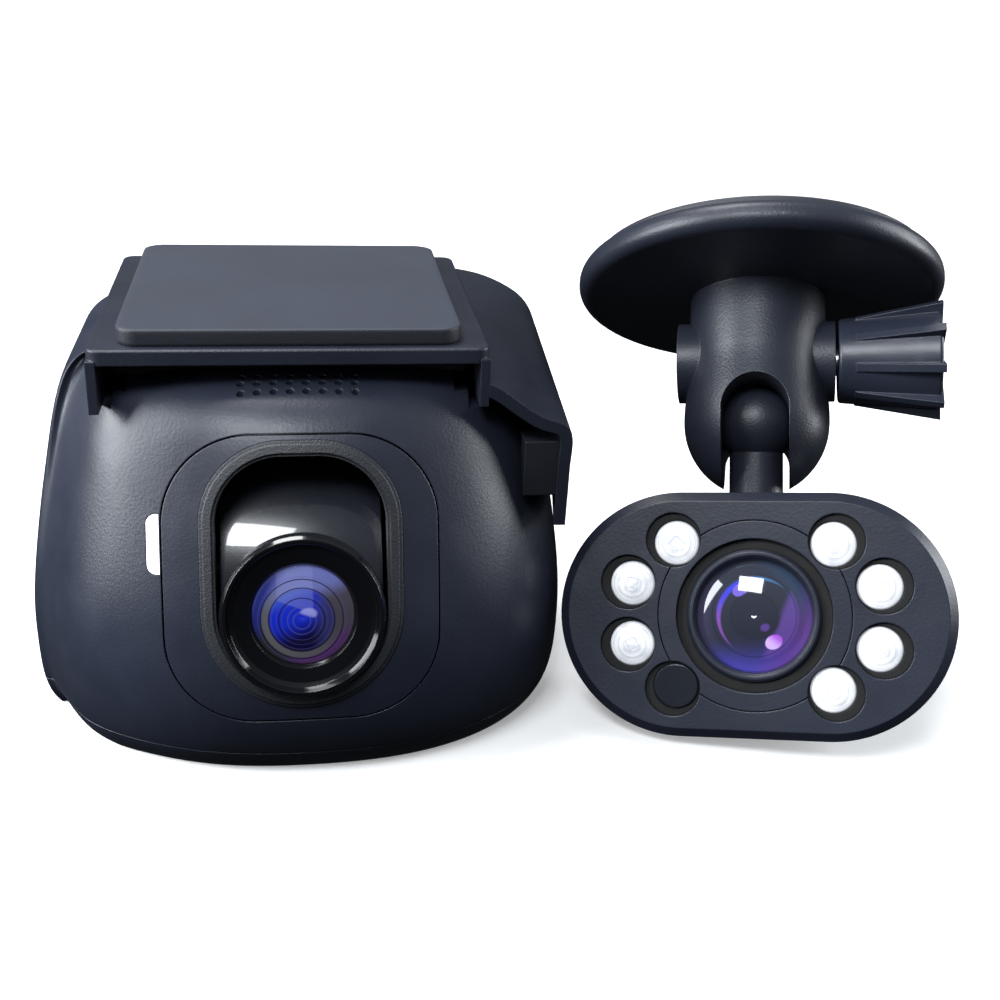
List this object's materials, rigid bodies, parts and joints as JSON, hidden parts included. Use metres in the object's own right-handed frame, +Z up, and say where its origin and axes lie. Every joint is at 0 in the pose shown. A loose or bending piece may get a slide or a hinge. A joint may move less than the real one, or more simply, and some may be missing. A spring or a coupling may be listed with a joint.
{
  "type": "dash camera kit",
  "caption": "Windscreen dash camera with a tilting lens drum and slide-on adhesive bracket, and a matching infrared cabin camera on a ball arm with a disc base.",
  "frame": {"origin": "centre of the main camera's flat underside", "axes": "+Z up, the lenses face -Y, +X runs from the main camera to the cabin camera"},
  "size_m": [0.1234, 0.0625, 0.0689],
  "materials": {
    "housing": "fine grained satin navy grey plastic",
    "bracket": "finely textured satin plastic",
    "rail": "coarse spark-eroded plastic",
    "pad": "matte grey liner over foam tape",
    "collar": "matte grained rim",
    "drum": "polished black",
    "lens_ring": "gloss black anodised ring",
    "lens_glass": "coated optical glass",
    "optic_black": "matte black inner barrel",
    "status_light": "lit white light pipe",
    "lamp_lens": "clear moulded lamp dome",
    "sensor_window": "dark smoked window",
    "circuit_board": "green solder resist",
    "chip": "moulded epoxy",
    "steel": "plain steel",
    "aluminium": "rolled sheet",
    "brass": "turned brass",
    "seal_rubber": "soft black rubber",
    "screen_glass": "black gloss window",
    "button": "satin keycap",
    "knob": "moulded knob with ribs",
    "contact": "light grey contact carrier",
    "capacitor": "sleeved capacitor can"
  },
  "bodies": {
    "main_camera": {"front_housing": "housing", "bottom_cover": "housing", "rear_cover": "housing", "rail_block": "rail", "lens_panel": "housing", "slot_collar": "collar", "status_light": "status_light", "drum_bearings": "chip", "main_board": "circuit_board", "board_chips": "chip", "heat_spreader": "aluminium", "supercapacitors": "capacitor", "screen_module": "chip", "screen_window": "screen_glass", "button_board": "circuit_board", "speaker": "steel", "speaker_mesh": "seal_rubber", "microphone": "steel", "card_socket": "steel", "usb_port": "steel", "bottom_screws": "steel"},
    "lens_unit": {"lens_drum": "drum", "lens_ring": "lens_ring", "lens_barrel": "optic_black", "front_glass": "lens_glass", "inner_glass": "lens_glass", "sensor_board": "circuit_board", "image_chip": "chip", "pivot_pins": "steel"},
    "windscreen_bracket": {"mount_bracket": "bracket", "adhesive_pad": "pad", "contact_block": "contact"},
    "card": {"memory_card": "chip"},
    "menu_key": {"menu_button": "button"},
    "up_key": {"up_button": "button"},
    "down_key": {"down_button": "button"},
    "select_key": {"select_button": "button"},
    "cabin_mount": {"disc_arm": "bracket", "cabin_adhesive_pad": "pad", "clamp_nut": "steel"},
    "clamp": {"clamp_knob": "knob", "clamp_screw": "steel"},
    "ball": {"ball_stud": "bracket"},
    "cabin_head": {"head_bezel": "housing", "head_rear_shell": "housing", "head_seal": "seal_rubber", "head_trim_ring": "housing", "cabin_lens_gasket": "seal_rubber", "cabin_lens_barrel": "housing", "cabin_front_glass": "lens_glass", "cabin_inner_glass": "lens_glass", "lamp_sleeves": "seal_rubber", "infrared_lamps": "lamp_lens", "light_sensor": "sensor_window", "lamp_board": "circuit_board", "cabin_sensor_board": "circuit_board", "cabin_image_chip": "chip", "stem_insert": "brass", "cable_inlet": "seal_rubber", "head_screws": "steel"}
  },
  "joints": [
    {"name": "lens_tilt", "type": "hinge", "parent": "main_camera", "child": "lens_unit", "pos_m": [-0.00045, -0.00785, 0.01839], "axis": [-1, 0, 0], "range_deg": [0, 18]},
    {"name": "bracket_slide", "type": "slide", "parent": "main_camera", "child": "windscreen_bracket", "axis": [0, -1, 0], "range_m": [0, 0.045]},
    {"name": "card_slide", "type": "slide", "parent": "main_camera", "child": "card", "axis": [-1, 0, 0], "range_m": [0, 0.018]},
    {"name": "cabin_apart", "type": "slide", "parent": "main_camera", "child": "cabin_mount", "axis": [1, 0, 0], "range_m": [0, 0.06]},
    {"name": "clamp_turn", "type": "hinge", "parent": "cabin_mount", "child": "clamp", "pos_m": [0.06221, 0.00197, 0.04383], "axis": [0.935, -0.3318, 0.1256], "range_deg": [0, 360]},
    {"name": "ball_pitch", "type": "hinge", "parent": "cabin_mount", "child": "ball", "pos_m": [0.06125, -0.00334, 0.037], "axis": [-0.935, 0.3318, -0.1256], "range_deg": [0, 24]},
    {"name": "head_swivel", "type": "hinge", "parent": "ball", "child": "cabin_head", "pos_m": [0.06125, -0.00334, 0.037], "axis": [0.0385, 0.4468, 0.8938], "range_deg": [-20, 45]},
    {"name": "menu_press", "type": "slide", "parent": "main_camera", "child": "menu_key", "axis": [0, -1, 0], "range_m": [0, 0.0006], "stiffness_N_per_m": 300, "springref_m": -0.0004},
    {"name": "up_press", "type": "slide", "parent": "main_camera", "child": "up_key", "axis": [0, -1, 0], "range_m": [0, 0.0006], "stiffness_N_per_m": 300, "springref_m": -0.0004},
    {"name": "down_press", "type": "slide", "parent": "main_camera", "child": "down_key", "axis": [0, -1, 0], "range_m": [0, 0.0006], "stiffness_N_per_m": 300, "springref_m": -0.0004},
    {"name": "select_press", "type": "slide", "parent": "main_camera", "child": "select_key", "axis": [0, -1, 0], "range_m": [0, 0.0006], "stiffness_N_per_m": 300, "springref_m": -0.0004}
  ]
}
